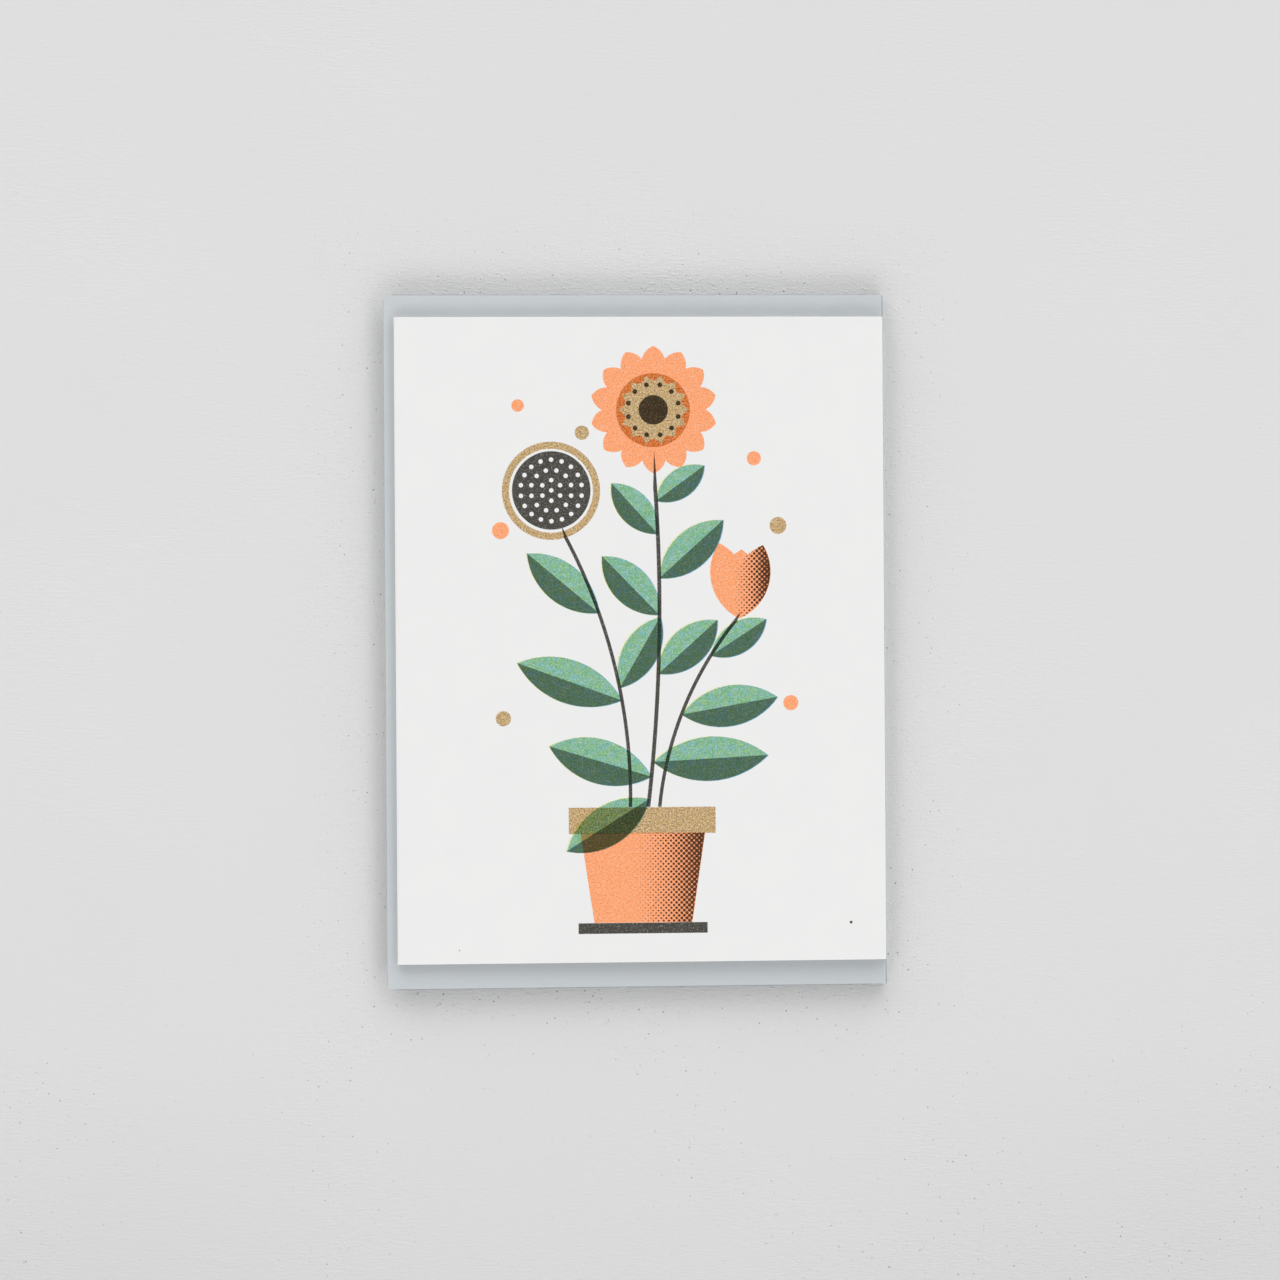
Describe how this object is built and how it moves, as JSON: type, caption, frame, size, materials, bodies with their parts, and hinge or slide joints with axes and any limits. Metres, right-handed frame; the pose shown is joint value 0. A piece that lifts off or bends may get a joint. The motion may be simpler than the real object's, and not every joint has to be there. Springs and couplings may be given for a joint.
{
  "type": "folded greeting card with envelope",
  "caption": "Folded card of thick white stock lying closed on its grey-blue envelope; the front leaf opens on the fold, the pointed seal flap turns on its own fold and the card lifts off.",
  "frame": {"origin": "middle of the envelope's footprint, on the surface that the part lies on", "axes": "+X from the card's fold to its free edge, +Y to the card's top edge, +Z out of the card's front"},
  "size_m": [0.1124, 0.1556, 0.0032],
  "materials": {
    "card_stock": "uncoated white card stock",
    "envelope_paper": "uncoated grey-blue wove paper",
    "seam_glue": "dried seam glue",
    "seal_gum": "dried clear gum"
  },
  "bodies": {
    "envelope": {"envelope_face": "envelope_paper", "back_panel": "envelope_paper", "side_flap_top": "envelope_paper", "side_flap_bottom": "envelope_paper", "back_fold": "envelope_paper", "side_fold_top": "envelope_paper", "side_fold_bottom": "envelope_paper", "seal_fold": "envelope_paper", "seam_glue_top": "seam_glue", "seam_glue_bottom": "seam_glue"},
    "seal_flap": {"seal_flap": "envelope_paper", "seal_gum": "seal_gum"},
    "card_back": {"card_back": "card_stock", "card_fold": "card_stock"},
    "card_front": {"card_front": "card_stock"}
  },
  "joints": [
    {"name": "seal_flap_hinge", "type": "hinge", "parent": "envelope", "child": "seal_flap", "pos_m": [0.05514, 0, 0.00111], "axis": [0, -1, 0], "range_deg": [0, 179]},
    {"name": "card_lift", "type": "slide", "parent": "envelope", "child": "card_back", "axis": [0, 0, 1], "range_m": [0, 0.06]},
    {"name": "card_fold_hinge", "type": "hinge", "parent": "card_back", "child": "card_front", "pos_m": [-0.05337, 0.0003, 0.00274], "axis": [0, -1, 0], "range_deg": [0, 178]}
  ]
}
